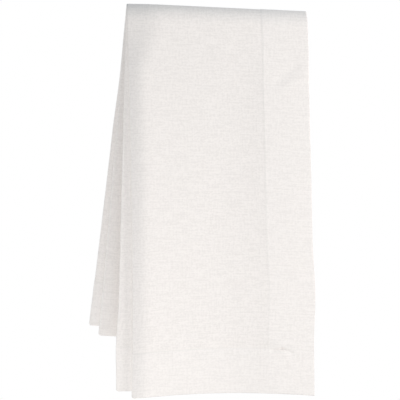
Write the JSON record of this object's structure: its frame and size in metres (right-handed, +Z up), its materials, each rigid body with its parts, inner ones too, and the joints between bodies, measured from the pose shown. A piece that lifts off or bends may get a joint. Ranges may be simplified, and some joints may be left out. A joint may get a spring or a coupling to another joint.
{
  "type": "hanging folded tablecloth",
  "caption": "Hemmed linen tablecloth folded lengthwise in four and hung over a rail, its folded edges fanning out at one side.",
  "frame": {"origin": "the hang line: the middle of the top of the rail that the cloth hangs over, where its innermost layer rests", "axes": "+X along the rail, -Y towards the longer front drop, +Z up"},
  "size_m": [0.2883, 0.0619, 0.4961],
  "materials": {
    "linen": "off-white plain-weave slub linen, matt"
  },
  "bodies": {
    "root": {"tablecloth": "linen"}
  },
  "joints": []
}
